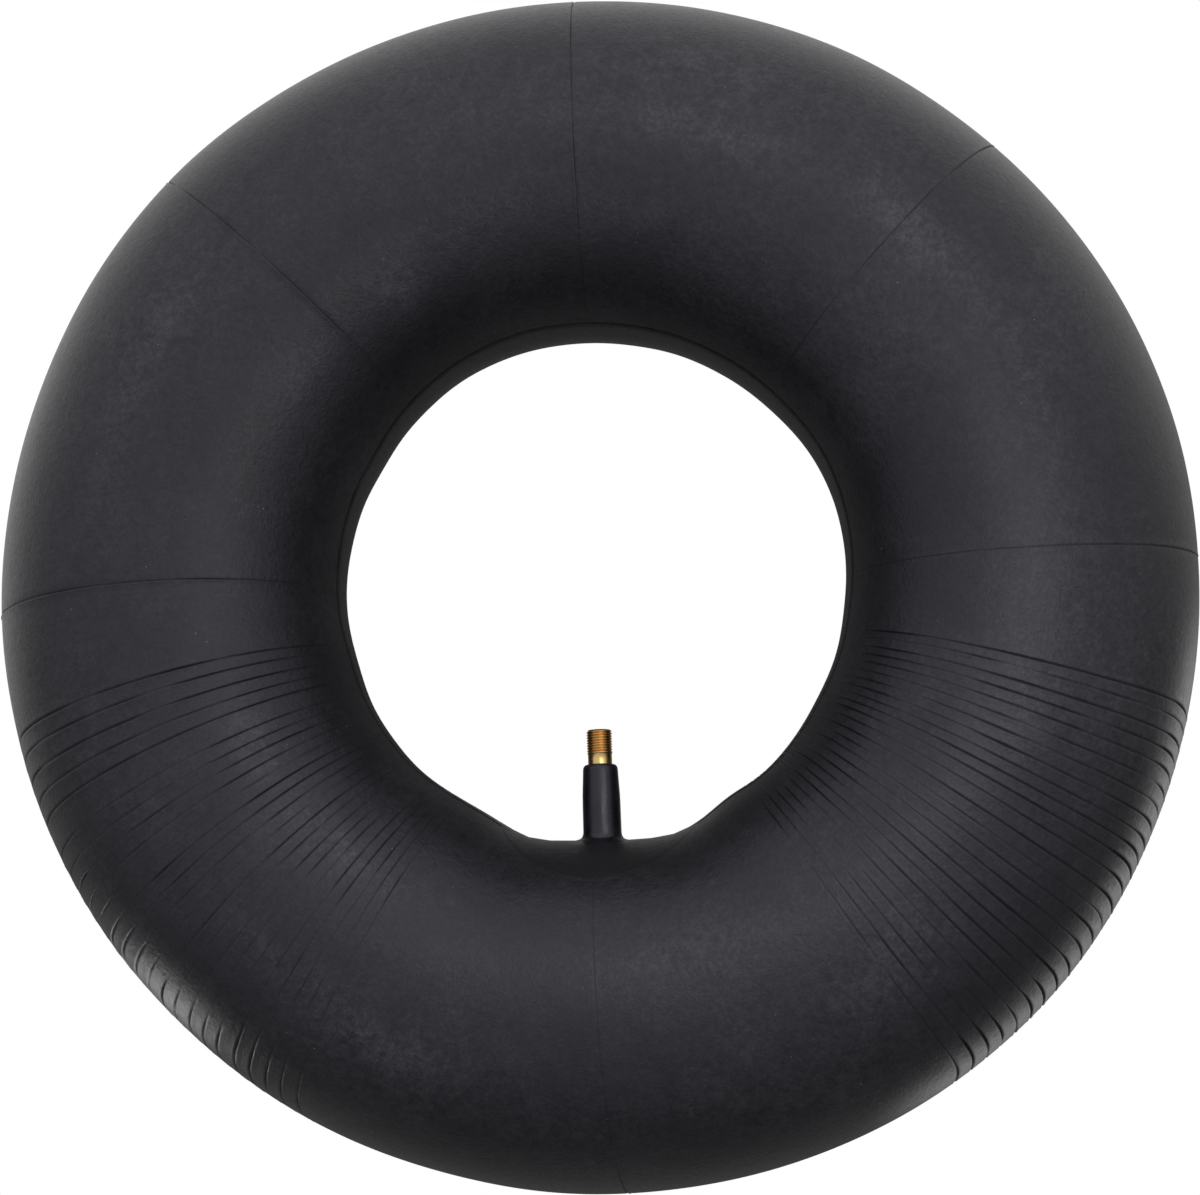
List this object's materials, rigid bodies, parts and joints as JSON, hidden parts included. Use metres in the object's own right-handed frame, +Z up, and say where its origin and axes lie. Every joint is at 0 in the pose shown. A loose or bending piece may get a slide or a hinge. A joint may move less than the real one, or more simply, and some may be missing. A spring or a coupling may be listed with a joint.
{
  "type": "inner tube",
  "caption": "Inflated butyl rubber inner tube for a small wheel, with a straight rubber-covered valve, cap thread and removable spring core.",
  "frame": {"origin": "middle of the flat ring that the tube rests on, under the centre of the hole", "axes": "+Z up along the ring's axis, the tube lies flat; +Y from the valve's foot through its tip towards the middle of the hole; +X to the right"},
  "size_m": [0.362, 0.362, 0.1038],
  "materials": {
    "tube_rubber": "matte to satin black butyl rubber with a faint grey bloom",
    "patch_rubber": "matte black rubber, buffed at the edge",
    "jacket_rubber": "satin black moulded rubber",
    "stem_brass": "bright turned brass, darker in the thread",
    "core_brass": "satin turned brass",
    "gasket_plastic": "waxy off-white sealing plastic",
    "spring_steel": "drawn spring wire",
    "seal_rubber": "matte black rubber"
  },
  "bodies": {
    "tube": {"tube_body": "tube_rubber", "valve_patch": "patch_rubber", "stem_jacket": "jacket_rubber", "stem_insert": "stem_brass"},
    "core": {"core_barrel": "core_brass", "core_gasket": "gasket_plastic", "core_spring": "spring_steel"},
    "plug": {"core_plug": "core_brass"},
    "pin": {"core_pin": "core_brass", "core_seal": "seal_rubber", "core_cup": "core_brass"}
  },
  "joints": [
    {"name": "core_travel", "type": "slide", "parent": "tube", "child": "core", "axis": [0, 1, 0], "range_m": [0, 0.0042]},
    {"name": "plug_turn", "type": "hinge", "parent": "core", "child": "plug", "pos_m": [0, -0.048, 0.05144], "axis": [0, 1, 0], "range_deg": [0, 2150]},
    {"name": "pin_press", "type": "slide", "parent": "core", "child": "pin", "axis": [0, -1, 0], "range_m": [0, 0.0015], "stiffness_N_per_m": 1500, "springref_m": -0.001, "deforming": ["core_spring"]}
  ],
  "couplings": [
    {"joint": "plug_turn", "follows": "core_travel", "rad_per_m": 8905.5}
  ]
}
